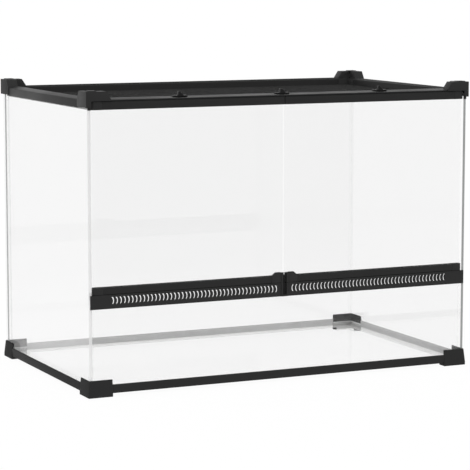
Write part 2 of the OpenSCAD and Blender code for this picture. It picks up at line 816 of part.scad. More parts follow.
module lid_corner() {
    start = top_rail_w + lid_gap;
    translate([start, start, 0]) difference() {
        union() {
            translate([0, 0, lid_z]) linear_extrude(lid_base_t)
                corner_plan(lid_corner_arm, lid_frame_w, corner_r);
            translate([0, 0, lid_z]) linear_extrude(lid_top - lid_z)
                corner_plan(lid_corner_arm, lid_wall_t, corner_r - EPS);
        }
        translate([0, 0, groove_z]) linear_extrude(lid_deck_z - groove_z + EPS)
            arm_plan(lid_corner_arm + 1, groove_in, groove_w);
    }
}
module lid_corners() {
    color(screen_black) for (right = [false, true], rear = [false, true])
        at_corner(right, rear) lid_corner();
}
module lid_screen() {
    cell_w = (2 * screen_half_w - screen_bar) / screen_cols;
    cell_d = (2 * screen_half_d - screen_bar) / screen_rows;
    color(screen_black) translate([-screen_half_w, -screen_half_d, screen_z])
        linear_extrude(screen_t) difference() {
            square([2 * screen_half_w, 2 * screen_half_d]);
            for (i = [0 : screen_cols - 1], j = [0 : screen_rows - 1])
                translate([screen_bar + i * cell_w, screen_bar + j * cell_d])
                    square([cell_w - screen_bar, cell_d - screen_bar]);
        }
}
// The cord lies under the screen's edge, in the groove of the lid's base.
module lid_spline() {
    cord_x = lid_half_w - groove_in - groove_w / 2;
    cord_y = lid_half_d - groove_in - groove_w / 2;
    cord_z = lid_deck_z - spline_r - 0.1;
    color(plastic_dark) translate([0, 0, cord_z]) {
        for (side = [-1, 1]) {
            translate([-cord_x, side * cord_y, 0]) rotate([0, 90, 0])
                cylinder(h = 2 * cord_x, r = spline_r);
            translate([side * cord_x, cord_y, 0]) rotate([90, 0, 0])
                cylinder(h = 2 * cord_y, r = spline_r);
            for (end = [-1, 1]) translate([side * cord_x, end * cord_y, 0]) sphere(spline_r);
        }
    }
}

// Turn clip: a plate on a post, flat on the side facing the lid, with a wedge
// for the thumb. Turned a quarter, its end lies over the lid.
module turn_clip() {
    ramp_from = -2.2;
    plate_r = 2;
    translate([0, -half_d + clip_axis_in, clip_z]) {
        linear_extrude(clip_t) {
            translate([-clip_half + plate_r, -clip_out]) square([2 * (clip_half - plate_r), 1]);
            translate([-clip_half, -clip_out + plate_r])
                square([2 * clip_half, clip_out - plate_r + clip_in]);
            translate([-clip_half + plate_r, -clip_out + 1])
                square([2 * (clip_half - plate_r), plate_r]);
            for (end = [-1, 1])
                translate([end * (clip_half - plate_r), -clip_out + plate_r]) circle(plate_r);
        }
        translate([0, clip_in - 0.6, clip_t - EPS]) rotate([90, 0, 0])
            linear_extrude(clip_out + clip_in - 1.4) polygon([
                [ramp_from, 0], [clip_half / 2, 0], [ramp_from + 1.6, clip_grip_h],
                [ramp_from + 0.6, clip_grip_h]
            ]);
        translate([0, 0, -post_h]) cylinder(h = post_h + EPS, r = post_r);
    }
}
module clip_left() { color(plastic_dark) translate([-clip_pitch, 0, 0]) turn_clip(); }
module clip_centre() { color(plastic_dark) turn_clip(); }
module clip_right() { color(plastic_dark) translate([clip_pitch, 0, 0]) turn_clip(); }

bottom_rail_front();
bottom_rail_rear();
bottom_rail_left();
bottom_rail_right();
bottom_corner_front_left();
bottom_corner_front_right();
bottom_corner_rear_left();
bottom_corner_rear_right();
floor_glass();
side_glass_left();
side_glass_right();
rear_glass();
sill_glass();
floor_seal();
corner_seals();
vent_strip();
hinge_bracket_left();
hinge_bracket_right();
lock_slide();
lock_foot();
top_rail_front();
top_rail_rear();
top_rail_left();
top_rail_right();
top_corner_front_left();
top_corner_front_right();
top_corner_rear_left();
top_corner_rear_right();
left_door_glass();
left_door_upper_rail();
left_door_lower_rail();
left_door_upper_knuckle();
left_door_lower_knuckle();
left_door_pins();
left_door_pull();
left_door_meeting();
right_door_glass();
right_door_upper_rail();
right_door_lower_rail();
right_door_upper_knuckle();
right_door_lower_knuckle();
right_door_pins();
right_door_pull();
right_door_meeting();
lid_rail_front();
lid_rail_rear();
lid_rail_left();
lid_rail_right();
lid_corners();
lid_screen();
lid_spline();
clip_left();
clip_centre();
clip_right();
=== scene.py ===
"""A front-opening glass terrarium in a black plastic frame, dressed on its CAD frame.

The CAD nodes give every solid its size and place. This script gives the mouldings and
panes their softened edges, makes the lid's wire net and the silicone beads, dresses
each surface in its own material and sets up a plain white studio.
"""

from __future__ import annotations

import json
import logging
import math
from dataclasses import dataclass, field
from enum import Enum
from typing import Any

import bmesh
import bpy
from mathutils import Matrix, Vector

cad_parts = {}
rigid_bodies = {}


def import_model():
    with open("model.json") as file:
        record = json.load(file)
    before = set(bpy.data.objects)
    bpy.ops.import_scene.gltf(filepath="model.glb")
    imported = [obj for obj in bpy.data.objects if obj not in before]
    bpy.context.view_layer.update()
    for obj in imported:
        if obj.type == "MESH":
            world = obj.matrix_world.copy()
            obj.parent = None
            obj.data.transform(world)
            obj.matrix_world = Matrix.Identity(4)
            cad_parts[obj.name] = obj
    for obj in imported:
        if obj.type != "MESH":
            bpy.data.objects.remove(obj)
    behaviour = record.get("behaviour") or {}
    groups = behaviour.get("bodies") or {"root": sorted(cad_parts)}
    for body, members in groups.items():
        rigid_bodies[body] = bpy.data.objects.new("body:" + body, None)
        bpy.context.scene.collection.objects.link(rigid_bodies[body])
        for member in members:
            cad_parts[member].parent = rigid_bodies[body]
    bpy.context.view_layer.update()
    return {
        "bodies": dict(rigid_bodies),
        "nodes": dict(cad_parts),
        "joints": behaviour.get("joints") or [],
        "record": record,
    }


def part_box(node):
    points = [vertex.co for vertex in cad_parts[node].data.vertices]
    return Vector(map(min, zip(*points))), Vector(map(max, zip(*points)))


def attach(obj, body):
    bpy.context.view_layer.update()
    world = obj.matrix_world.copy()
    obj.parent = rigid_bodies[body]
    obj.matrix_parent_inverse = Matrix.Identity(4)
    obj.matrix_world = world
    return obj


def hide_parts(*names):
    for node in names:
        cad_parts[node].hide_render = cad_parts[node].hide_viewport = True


log = logging.getLogger("terrarium")

MM = 0.001
SHARP_ANGLE = math.radians(30.0)
NOISE_LOW, NOISE_HIGH = 0.3, 0.7

Rgba = tuple[float, float, float, float]

WHITE: Rgba = (1.0, 1.0, 1.0, 1.0)


class Run(Enum):
    """The way a moulding or an extrusion runs."""

    ACROSS = "x"
    DEEP = "y"
    UP = "z"


class Side(Enum):
    """A side of the tank, as the CAD nodes spell it."""

    LEFT = "left"
    RIGHT = "right"


RUNS = {"front": Run.ACROSS, "rear": Run.ACROSS, "left": Run.DEEP, "right": Run.DEEP}


def linear(hex_code: str) -> Rgba:
    """Turns an sRGB hex colour into Blender's linear colour.

    Args:
        hex_code: Six hex digits with a leading #.

    Returns:
        Linear red, green and blue, and an alpha of 1.
    """
    parts = (int(hex_code[i : i + 2], 16) / 255 for i in (1, 3, 5))
    red, green, blue = (c / 12.92 if c <= 0.04045 else ((c + 0.055) / 1.055) ** 2.4 for c in parts)
    return red, green, blue, 1.0


def per_mm(size_mm: float) -> float:
    """The texture scale at which a feature is size_mm across."""
    return 1.0 / (size_mm * MM)


def add(tree: bpy.types.NodeTree, kind: str, links: dict[str, Any] | None = None, **settings: Any) -> Any:
    """Adds a node to a tree.

    Args:
        tree: The tree that gets the node.
        kind: The node's type name.
        links: For each input, by name or number, an output socket or a plain value.
        **settings: Properties of the node.

    Returns:
        The new node.
    """
    node = tree.nodes.new(kind)
    for name, value in settings.items():
        setattr(node, name, value)
    for name, value in (links or {}).items():
        socket = node.inputs[name]
        if isinstance(value, bpy.types.NodeSocket):
            tree.links.new(value, socket)
        else:
            socket.default_value = value
    return node


def new_material(name: str) -> tuple[bpy.types.Material, bpy.types.NodeTree, bpy.types.NodeSocket]:
    """Makes a node material with nothing in it but the object's own coordinates.

    Args:
        name: The material's name.

    Returns:
        The material, its tree and the coordinates.
    """
    material = bpy.data.materials.new(name)
    material.use_nodes = True
    tree = material.node_tree
    tree.nodes.clear()
    return material, tree, add(tree, "ShaderNodeTexCoord").outputs["Object"]


@dataclass(frozen=True)
class BlackPlastic:
    """Black ABS or PVC: moulded with a fine spark grain, or extruded with faint die lines.

    The eye sees a dull charcoal rather than black, with soft pale lines along the eased
    edges, which are a painted highlight together with wear. The real grain is about 0.2 mm, drawn coarser
    here so that it shows at all.
    """

    name: str
    body: str = "#2e2e2e"
    # The paler colour serves the random mottle and the painted highlight along the edges.
    pale_wear_and_highlight: str = "#3c3c3b"
    roughness: float = 0.5
    rough_spread: tuple[float, float] = (-0.04, 0.05)
    specular: float = 0.15
    mottle_mm: float = 38.0
    mottle_share: float = 0.12
    grain_mm: float = 1.3
    grain_depth_mm: float = 0.05
    grain_strength: float = 0.5
    die_lines: Run | None = None
    line_mm: float = 0.9
    line_length_mm: float = 160.0
    line_share: float = 0.7
    edge_mm: float = 0.35
    edge_highlight_and_wear_share: float = 0.55
    edge_turn: tuple[float, float] = (0.99, 0.8)

    def build(self) -> bpy.types.Material:
        """Makes the material.

        Returns:
            A satin black plastic with mottled tone, grain, and edges painted a little paler as a highlight
            and as wear.
        """
        material, tree, place = new_material(self.name)
        mottle = add(
            tree, "ShaderNodeTexNoise", {"Vector": place, "Scale": per_mm(self.mottle_mm), "Detail": 4.0}
        )
        grain = add(
            tree, "ShaderNodeTexNoise", {"Vector": place, "Scale": per_mm(self.grain_mm), "Detail": 2.0}
        )
        relief = grain.outputs["Fac"]
        if self.die_lines:
            stretch = [per_mm(self.line_mm)] * 3
            stretch["xyz".index(self.die_lines.value)] = per_mm(self.line_length_mm)
            lines_at = add(tree, "ShaderNodeMapping", {"Vector": place, "Scale": stretch})
            lines = add(
                tree, "ShaderNodeTexNoise", {"Vector": lines_at.outputs[0], "Scale": 1.0, "Detail": 3.0}
            )
            blend = add(
                tree, "ShaderNodeMix", {"Factor": self.line_share, "A": relief, "B": lines.outputs["Fac"]}
            )
            relief = blend.outputs[0]
        # Along the eased edges the colour is painted a shade paler: a painted highlight where the edges
        # catch the light, together with wear from handling.
        eased = add(tree, "ShaderNodeBevel", {"Radius": self.edge_mm * MM}, samples=4)
        flat = add(tree, "ShaderNodeNewGeometry").outputs["Normal"]
        along = add(tree, "ShaderNodeVectorMath", {0: eased.outputs[0], 1: flat}, operation="DOT_PRODUCT")
        edge = add(
            tree,
            "ShaderNodeMapRange",
            {
                "Value": along.outputs["Value"],
                "From Min": self.edge_turn[0],
                "From Max": self.edge_turn[1],
                "To Max": self.edge_highlight_and_wear_share,
            },
        )
        tone = add(
            tree,
            "ShaderNodeMapRange",
            {
                "Value": mottle.outputs["Fac"],
                "From Min": NOISE_LOW,
                "From Max": NOISE_HIGH,
                "To Max": self.mottle_share,
            },
        )
        pale = add(tree, "ShaderNodeMath", {0: edge.outputs[0], 1: tone.outputs[0]}, operation="MAXIMUM")
        # The colour pales with the mottle and with the painted edge highlight.
        colour = add(
            tree,
            "ShaderNodeMix",
            {"Factor": pale.outputs[0], "A": linear(self.body), "B": linear(self.pale_wear_and_highlight)},
            data_type="RGBA",
        )
        rough = add(
            tree,
            "ShaderNodeMapRange",
            {
                "Value": mottle.outputs["Fac"],
                "From Min": NOISE_LOW,
                "From Max": NOISE_HIGH,
                "To Min": self.roughness + self.rough_spread[0],
                "To Max": self.roughness + self.rough_spread[1],
            },
        )
        bump = add(
            tree,
            "ShaderNodeBump",
            {
                "Height": relief,
                "Normal": eased.outputs[0],
                "Strength": self.grain_strength,
                "Distance": self.grain_depth_mm * MM,
            },
        )
        shader = add(
            tree,
            "ShaderNodeBsdfPrincipled",
            {
                "Base Color": colour.outputs[2],
                "Roughness": rough.outputs[0],
                "Normal": bump.outputs[0],
                "IOR": 1.53,
                "Specular IOR Level": self.specular,
            },
        )
        add(tree, "ShaderNodeOutputMaterial", {"Surface": shader.outputs[0]})
        return material


@dataclass(frozen=True)
class FloatGlass:
    """Clear soda-lime float glass: flat, bright, and mirror-like where it is seen at a low angle.

    The eye sees what is behind it hardly dimmed, under a faint image of what is in front.
    """

    name: str
    passed: str = "#fefefe"
    shine: str = "#ffffff"
    head_on: float = 0.043
    grazing: float = 0.957
    grazing_power: float = 5.0
    wave_strength: float = 0.3
    wave_mm: float = 90.0
    wave_depth_mm: float = 0.01

    def build(self) -> bpy.types.Material:
        """Makes the material.

        Returns:
            A glass face that lets light straight through and mirrors more the lower it is
            seen, by Schlick's rule for an IOR of 1.52, which holds for both ways through it.
        """
        material, tree, place = new_material(self.name)
        wave = add(
            tree, "ShaderNodeTexNoise", {"Vector": place, "Scale": per_mm(self.wave_mm), "Detail": 1.0}
        )
        bump = add(
            tree,
            "ShaderNodeBump",
            {
                "Height": wave.outputs["Fac"],
                "Strength": self.wave_strength,
                "Distance": self.wave_depth_mm * MM,
            },
        )
        low = add(tree, "ShaderNodeLayerWeight", {"Blend": 0.5, "Normal": bump.outputs[0]})
        curve = add(
            tree, "ShaderNodeMath", {0: low.outputs["Facing"], 1: self.grazing_power}, operation="POWER"
        )
        share = add(
            tree,
            "ShaderNodeMath",
            {0: curve.outputs[0], 1: self.grazing, 2: self.head_on},
            operation="MULTIPLY_ADD",
        )
        clear = add(tree, "ShaderNodeBsdfTransparent", {"Color": linear(self.passed)})
        mirror = add(
            tree,
            "ShaderNodeBsdfGlossy",
            {"Color": linear(self.shine), "Roughness": 0.0, "Normal": bump.outputs[0]},
        )
        both = add(
            tree, "ShaderNodeMixShader", {0: share.outputs[0], 1: clear.outputs[0], 2: mirror.outputs[0]}
        )
        add(tree, "ShaderNodeOutputMaterial", {"Surface": both.outputs[0]})
        return material


@dataclass(frozen=True)
class GroundEdge:
    """The ground edge of a pane, polished until it is nearly clear or left dull.

    The eye sees a thin line along the pane, and hardly anything where it is polished. Its grey and its pale
    copies are painted shade and painted highlight, set by how the light falls on each pane's edge.
    """

    name: str
    passed: str = "#fefefe"
    deep: str = "#a5a7a7"
    pale: str = "#c5c7c7"
    solid: float = 0.02
    roughness: float = 0.3
    cloud_mm: float = 24.0
    grit_mm: float = 1.2
    grit_depth_mm: float = 0.03
    grit_strength: float = 0.4

    def build(self) -> bpy.types.Material:
        """Makes the material.

        Returns:
            A more or less clear glass with fine grinding marks.
        """
        material, tree, place = new_material(self.name)
        grit = add(
            tree, "ShaderNodeTexNoise", {"Vector": place, "Scale": per_mm(self.grit_mm), "Detail": 3.0}
        )
        cloud = add(
            tree, "ShaderNodeTexNoise", {"Vector": place, "Scale": per_mm(self.cloud_mm), "Detail": 2.0}
        )
        colour = add(
            tree,
            "ShaderNodeMix",
            {"Factor": cloud.outputs["Fac"], "A": linear(self.deep), "B": linear(self.pale)},
            data_type="RGBA",
        )
        bump = add(
            tree,
            "ShaderNodeBump",
            {
                "Height": grit.outputs["Fac"],
                "Strength": self.grit_strength,
                "Distance": self.grit_depth_mm * MM,
            },
        )
        ground = add(
            tree,
            "ShaderNodeBsdfPrincipled",
            {
                "Base Color": colour.outputs[2],
                "Roughness": self.roughness,
                "IOR": 1.52,
                "Normal": bump.outputs[0],
            },
        )
        clear = add(tree, "ShaderNodeBsdfTransparent", {"Color": linear(self.passed)})
        both = add(tree, "ShaderNodeMixShader", {0: self.solid, 1: clear.outputs[0], 2: ground.outputs[0]})
        add(tree, "ShaderNodeOutputMaterial", {"Surface": both.outputs[0]})
        return material


@dataclass(frozen=True)
class ClearSilicone:
    """Clear aquarium silicone, cured slightly milky and smoothed with a finger.

    The eye sees little more than a soft gleam in the corners of the panes.
    """

    name: str = "clear_silicone"
    passed: str = "#ffffff"
    milk: str = "#eceeed"
    solid: float = 0.03
    spread: float = 0.4
    roughness: float = 0.24
    ripple_mm: float = 9.0
    ripple_depth_mm: float = 0.12
    ripple_strength: float = 0.5

    def build(self) -> bpy.types.Material:
        """Makes the material.

        Returns:
            A soft half-clear rubber with gentle ripples along the bead.
        """
        material, tree, place = new_material(self.name)
        ripple = add(
            tree, "ShaderNodeTexNoise", {"Vector": place, "Scale": per_mm(self.ripple_mm), "Detail": 2.0}
        )
        bump = add(
            tree,
            "ShaderNodeBump",
            {
                "Height": ripple.outputs["Fac"],
                "Strength": self.ripple_strength,
                "Distance": self.ripple_depth_mm * MM,
            },
        )
        cured = add(
            tree,
            "ShaderNodeBsdfPrincipled",
            {
                "Base Color": linear(self.milk),
                "Roughness": self.roughness,
                "IOR": 1.41,
                "Normal": bump.outputs[0],
            },
        )
        clear = add(tree, "ShaderNodeBsdfTransparent", {"Color": linear(self.passed)})
        share = add(
            tree,
            "ShaderNodeMapRange",
            {
                "Value": ripple.outputs["Fac"],
                "To Min": self.solid * (1.0 - self.spread),
                "To Max": self.solid * (1.0 + self.spread),
            },
        )
        both = add(
            tree, "ShaderNodeMixShader", {0: share.outputs[0], 1: clear.outputs[0], 2: cured.outputs[0]}
        )
        add(tree, "ShaderNodeOutputMaterial", {"Surface": both.outputs[0]})
        return material


@dataclass(frozen=True)
class BondedPlastic:
    """Black plastic with silicone or foam tape squeezed between it and a pane.

    The eye sees a flat, slightly cloudy grey or white behind the glass. The pale film is partly the
    silicone and foam tape and partly a painted reflection of the white surround in the pane in front.
    """

    name: str
    film_and_painted_reflection: str = "#d5d5d5"
    bare: str = "#1b1b1b"
    top_mm: float = 20.0
    fade_mm: float = 0.4
    cloud_mm: float = 14.0
    thin_share: float = 0.93
    roughness: float = 0.55
    specular: float = 0.2

    def build(self) -> bpy.types.Material:
        """Makes the material.

        Returns:
            A dull film, cloudy where it was squeezed, up to a height and bare plastic above it; the film is
            also painted pale to stand in for the reflection of the white surround in the pane.
        """
        material, tree, place = new_material(self.name)
        cloud = add(
            tree, "ShaderNodeTexNoise", {"Vector": place, "Scale": per_mm(self.cloud_mm), "Detail": 3.0}
        )
        thick = add(
            tree,
            "ShaderNodeMapRange",
            {
                "Value": cloud.outputs["Fac"],
                "From Min": NOISE_LOW,
                "From Max": NOISE_HIGH,
                "To Min": self.thin_share,
            },
        )
        height = add(tree, "ShaderNodeSeparateXYZ", {"Vector": place}).outputs["Z"]
        below = add(
            tree,
            "ShaderNodeMapRange",
            {
                "Value": height,
                "From Min": (self.top_mm + self.fade_mm) * MM,
                "From Max": (self.top_mm - self.fade_mm) * MM,
            },
        )
        share = add(
            tree, "ShaderNodeMath", {0: thick.outputs[0], 1: below.outputs[0]}, operation="MULTIPLY"
        )
        # Painted reflection: the pale film colour stands in for the white surround mirrored in the pane in
        # front, as well as for the silicone and foam.
        colour = add(
            tree,
            "ShaderNodeMix",
            {"Factor": share.outputs[0], "A": linear(self.bare), "B": linear(self.film_and_painted_reflection)},
            data_type="RGBA",
        )
        shader = add(
            tree,
            "ShaderNodeBsdfPrincipled",
            {
                "Base Color": colour.outputs[2],
                "Roughness": self.roughness,
                "Specular IOR Level": self.specular,
            },
        )
        add(tree, "ShaderNodeOutputMaterial", {"Surface": shader.outputs[0]})
        return material


@dataclass(frozen=True)
class CoatedWire:
    """Black epoxy-coated wire of the lid's net, with a thin dull coat.

    The eye sees a dark, even veil with no shine.
    """

    name: str = "coated_wire"
    coat: str = "#111111"
    scuffed: str = "#1e1e1d"
    patch_mm: float = 6.0
    roughness: float = 0.55
    specular: float = 0.3

    def build(self) -> bpy.types.Material:
        """Makes the material.

        Returns:
            A dull black coat that is a little uneven along the wires.
        """
        material, tree, place = new_material(self.name)
        patch = add(
            tree, "ShaderNodeTexNoise", {"Vector": place, "Scale": per_mm(self.patch_mm), "Detail": 3.0}
        )
        colour = add(
            tree,
            "ShaderNodeMix",
            {"Factor": patch.outputs["Fac"], "A": linear(self.coat), "B": linear(self.scuffed)},
            data_type="RGBA",
        )
        shader = add(
            tree,
            "ShaderNodeBsdfPrincipled",
            {
                "Base Color": colour.outputs[2],
                "Roughness": self.roughness,
                "Specular IOR Level": self.specular,
            },
        )
        add(tree, "ShaderNodeOutputMaterial", {"Surface": shader.outputs[0]})
        return material


@dataclass(frozen=True)
class RubberCord:
    """Black vinyl cord pressed round the lid's groove, a matt line under the net's rim."""

    name: str = "vinyl_cord"
    body: str = "#1b1b1b"
    roughness: float = 0.6
    specular: float = 0.25
    rib_mm: float = 0.8
    rib_depth_mm: float = 0.05
    rib_strength: float = 0.6

    def build(self) -> bpy.types.Material:
        """Makes the material.

        Returns:
            A matt black rubber with the fine ribs of such cord.
        """
        material, tree, place = new_material(self.name)
        ribs = add(
            tree, "ShaderNodeTexNoise", {"Vector": place, "Scale": per_mm(self.rib_mm), "Detail": 1.0}
        )
        bump = add(
            tree,
            "ShaderNodeBump",
            {
                "Height": ribs.outputs["Fac"],
                "Strength": self.rib_strength,
                "Distance": self.rib_depth_mm * MM,
            },
        )
        shader = add(
            tree,
            "ShaderNodeBsdfPrincipled",
            {
                "Base Color": linear(self.body),
                "Roughness": self.roughness,
                "Specular IOR Level": self.specular,
                "Normal": bump.outputs[0],
            },
        )
        add(tree, "ShaderNodeOutputMaterial", {"Surface": shader.outputs[0]})
        return material


@dataclass(frozen=True)
class DrawnSteel:
    """Bright drawn steel wire of the hinge pins, with a streaked gleam along them."""

    name: str = "drawn_steel"
    bright: str = "#b9babc"
    dull: str = "#8f9092"
    roughness: float = 0.28
    line_mm: float = 0.25
    line_length_mm: float = 12.0

    def build(self) -> bpy.types.Material:
        """Makes the material.

        Returns:
            A metal with drawing lines along the pin.
        """
        material, tree, place = new_material(self.name)
        stretch = (per_mm(self.line_mm), per_mm(self.line_mm), per_mm(self.line_length_mm))
        lines_at = add(tree, "ShaderNodeMapping", {"Vector": place, "Scale": stretch})
        lines = add(
            tree, "ShaderNodeTexNoise", {"Vector": lines_at.outputs[0], "Scale": 1.0, "Detail": 2.0}
        )
        colour = add(
            tree,
            "ShaderNodeMix",
            {"Factor": lines.outputs["Fac"], "A": linear(self.dull), "B": linear(self.bright)},
            data_type="RGBA",
        )
        shader = add(
            tree,
            "ShaderNodeBsdfPrincipled",
            {"Base Color": colour.outputs[2], "Metallic": 1.0, "Roughness": self.roughness},
        )
        add(tree, "ShaderNodeOutputMaterial", {"Surface": shader.outputs[0]})
        return material


@dataclass
class Finishes:
    """Every finish of the object, built once.

    The bottom mouldings are more matt than the top ones. Of the panes' edges only three
    show: a dark line at the right and at the far left, which is painted shade, and a pale band at the front
    left, which is a painted highlight.
    """

    moulded: bpy.types.Material = field(init=False)
    extruded: dict[Run, bpy.types.Material] = field(init=False)
    foot: bpy.types.Material = field(init=False)
    base_rail: dict[Run, bpy.types.Material] = field(init=False)
    bonded_rail: bpy.types.Material = field(init=False)
    bonded_foot: bpy.types.Material = field(init=False)
    foam_bed_and_painted_reflection: bpy.types.Material = field(init=False)
    clip: bpy.types.Material = field(init=False)
    pane: bpy.types.Material = field(init=False)
    underside: bpy.types.Material = field(init=False)
    edge: bpy.types.Material = field(init=False)
    painted_shade_edge: bpy.types.Material = field(init=False)
    painted_highlight_edge: bpy.types.Material = field(init=False)
    silicone: bpy.types.Material = field(init=False)
    wire: bpy.types.Material = field(init=False)
    cord: bpy.types.Material = field(init=False)
    steel: bpy.types.Material = field(init=False)

    def __post_init__(self) -> None:
        """Builds the materials."""
        self.moulded = BlackPlastic("moulded_abs").build()
        self.extruded = self.lined("extruded_pvc", roughness=0.42, specular=0.09)
        self.foot = BlackPlastic("matt_moulded_abs", body="#303030", roughness=0.62, specular=0.03).build()
        self.base_rail = self.lined("matt_pvc", body="#2f2f2f", roughness=0.6, specular=0.06)
        # These pale films are partly painted reflection of the white surround in the panes.
        self.bonded_rail = BondedPlastic("silicone_and_painted_reflection_behind_pane").build()
        self.bonded_foot = BondedPlastic("silicone_and_painted_reflection_in_corner", film_and_painted_reflection="#f2f3f2", top_mm=9.6).build()
        self.foam_bed_and_painted_reflection = BondedPlastic("foam_tape_and_painted_reflection", film_and_painted_reflection="#f6f6f5").build()
        # The clip and lock plastic is darker than the frame, partly its own colour and partly painted shade
        # for the clips' pockets and the lock's channel.
        self.clip = BlackPlastic("clip_nylon_painted_shade", body="#171717", pale_wear_and_highlight="#2a2a2a", roughness=0.36).build()
        self.pane = FloatGlass("float_glass").build()
        self.underside = FloatGlass("float_glass_underside", grazing=0.0).build()
        self.edge = GroundEdge("polished_glass_edge").build()
        # Painted shade: a darker, less clear copy of the glass edge.
        self.painted_shade_edge = GroundEdge(
            "painted_shade_glass_edge", passed="#cccdcd", deep="#707272", pale="#888a8a", solid=0.66
        ).build()
        # Painted highlight: a paler copy of the glass edge.
        self.painted_highlight_edge = GroundEdge(
            "painted_highlight_glass_edge", passed="#f8f8f8", deep="#f4f4f4", pale="#fdfdfd", solid=0.75, roughness=0.5
        ).build()
        self.silicone = ClearSilicone().build()
        self.wire = CoatedWire().build()
        self.cord = RubberCord().build()
        self.steel = DrawnSteel().build()

    def lined(self, name: str, **looks: Any) -> dict[Run, bpy.types.Material]:
        """Builds an extruded finish for both ways that a rail can lie.

        Args:
            name: The start of both names.
            **looks: What differs from moulded plastic.

        Returns:
            For each way, the material whose die lines run that way.
        """
        return {
            run: BlackPlastic(f"{name}_{run.value}", grain_depth_mm=0.02, die_lines=run, **looks).build()
            for run in (Run.ACROSS, Run.DEEP)
        }


@dataclass
class Workshop:
    """Turns CAD solids and meshes into finished pieces of the object.

    The pairs pane_reach_mm and skin_mm are distances from the middle along X and Y: where
    the panes' bonded faces start and where the frame's outer skin starts. The fields upright,
    downward and level are cosines that sort faces by the way they point.
    """

    frame: dict[str, Any]
    finishes: Finishes
    pane_reach_mm: tuple[float, float] = (240.0, 142.0)
    skin_mm: tuple[float, float] = (247.5, 147.5)
    shelf_mm: float = 6.5
    upright: float = 0.7
    downward: float = -0.3
    level: float = 0.99
    weld_mm: float = 0.002
    flat_angle: float = math.radians(0.5)
    smooth_angle: float = math.radians(35.0)

    def body_of(self, node: str) -> str:
        """The CAD body that a node belongs to."""
        bodies = self.frame["record"]["behaviour"]["bodies"]
        return next(body for body, nodes in bodies.items() if node in nodes)

    def dress(self, node: str, material: bpy.types.Material) -> None:
        """Gives a CAD node that keeps its mesh a material.

        Args:
            node: The node's name.
            material: Its finish.
        """
        slots = self.frame["nodes"][node].data.materials
        for index in range(len(slots)):
            slots[index] = material
        if not slots:
            slots.append(material)
        log.info("%s dressed in %s", node, material.name)

    def place(self, mesh: bpy.types.Mesh, name: str, node: str) -> bpy.types.Object:
        """Makes a mesh the piece that stands for a CAD node.

        Args:
            mesh: The finished mesh, with its place in it.
            name: The piece's name.
            node: The CAD node, whose body carries the piece and whose slot it takes.

        Returns:
            The new object.
        """
        piece = bpy.data.objects.new(name, mesh)
        bpy.context.scene.collection.objects.link(piece)
        body = self.body_of(node)
        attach(piece, body)
        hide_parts(node)
        log.info("%s rides on %s", name, body)
        return piece

    def merged(self, node: str) -> bmesh.types.BMesh:
        """A closed copy of a CAD node's mesh, with its flat faces joined."""
        copy = bmesh.new()
        copy.from_mesh(self.frame["nodes"][node].data)
        bmesh.ops.remove_doubles(copy, verts=copy.verts, dist=self.weld_mm * MM)
        bmesh.ops.dissolve_limit(
            copy, angle_limit=self.flat_angle, verts=copy.verts, edges=copy.edges, delimit=set()
        )
        return copy

    def bed(self, piece: bpy.types.Object, bonded: bpy.types.Material) -> None:
        """Dresses the faces of a bottom moulding that hold glass.

        Args:
            piece: The softened moulding.
            bonded: The finish of the upright faces behind the panes.
        """
        mesh = piece.data
        mesh.materials.append(bonded)
        mesh.materials.append(self.finishes.foam_bed_and_painted_reflection)
        for face in mesh.polygons:
            at, way = face.center, face.normal
            inward = [-way[i] * math.copysign(1.0, at[i]) > self.upright for i in range(2)]
            beyond = [abs(at[i]) > self.pane_reach_mm[i] * MM for i in range(2)]
            within = all(abs(at[i]) < self.skin_mm[i] * MM for i in range(2))
            # The faces behind the panes and on the shelf get the pale film, which is partly painted
            # reflection.
            if (inward[0] and beyond[0]) or (inward[1] and beyond[1]):
                face.material_index = 1
            elif way.z > self.downward and at.z < self.shelf_mm * MM and within:
                face.material_index = 2

    def soften(
        self, node: str, material: bpy.types.Material, width_mm: float, steps: int = 2
    ) -> bpy.types.Object:
        """Replaces a CAD node by a copy with eased edges, as moulding leaves them.

        Args:
            node: The node's name.
            material: Its finish.
            width_mm: How far the easing reaches from each sharp edge.
            steps: Faces across the easing.

        Returns:
            The new piece.
        """
        solid = self.merged(node)
        sharp = [e for e in solid.edges if e.is_manifold and e.calc_face_angle(0.0) > SHARP_ANGLE]
        bmesh.ops.bevel(
            solid,
            geom=sharp,
            offset=width_mm * MM,
            offset_type="OFFSET",
            segments=steps,
            profile=0.5,
            affect="EDGES",
            clamp_overlap=True,
            loop_slide=True,
        )
        mesh = bpy.data.meshes.new(f"{node}_moulding")
        solid.to_mesh(mesh)
        solid.free()
        mesh.materials.append(material)
        for face in mesh.polygons:
            face.use_smooth = True
        mesh.set_sharp_from_angle(angle=self.smooth_angle)
        return self.place(mesh, f"{node}_moulding", node)

    def glaze(
        self,
        node: str,
        thin: Run,
        edges: tuple[tuple[Vector, float, bpy.types.Material], ...] = (),
        arris_mm: float = 0.4,
    ) -> bpy.types.Object:
        """Replaces a pane by one with polished edges and small arrises.

        Args:
            node: The pane's node.
            thin: The axis along which the pane is thin.
            edges: For each edge that isn't polished the way it faces, how near to that way
                a face has to point (as a cosine) and its finish.
            arris_mm: Width of the chamfer along its edges.

        Returns:
            The new pane.
        """
        solid = self.merged(node)
        bmesh.ops.bevel(
            solid, geom=list(solid.edges), offset=arris_mm * MM, segments=1, profile=0.5, affect="EDGES"
        )
        axis = "xyz".index(thin.value)
        mesh = bpy.data.meshes.new(f"{node}_pane")
        for face in solid.faces:
            face.material_index = 0 if abs(face.normal[axis]) > self.level else 1
            for index, (way, near, _) in enumerate(edges):
                if face.normal.dot(way) > near:
                    face.material_index = 2 + index
        solid.to_mesh(mesh)
        solid.free()
        for material in (self.finishes.pane, self.finishes.edge, *(finish for _, _, finish in edges)):
            mesh.materials.append(material)
        return self.place(mesh, f"{node}_pane", node)


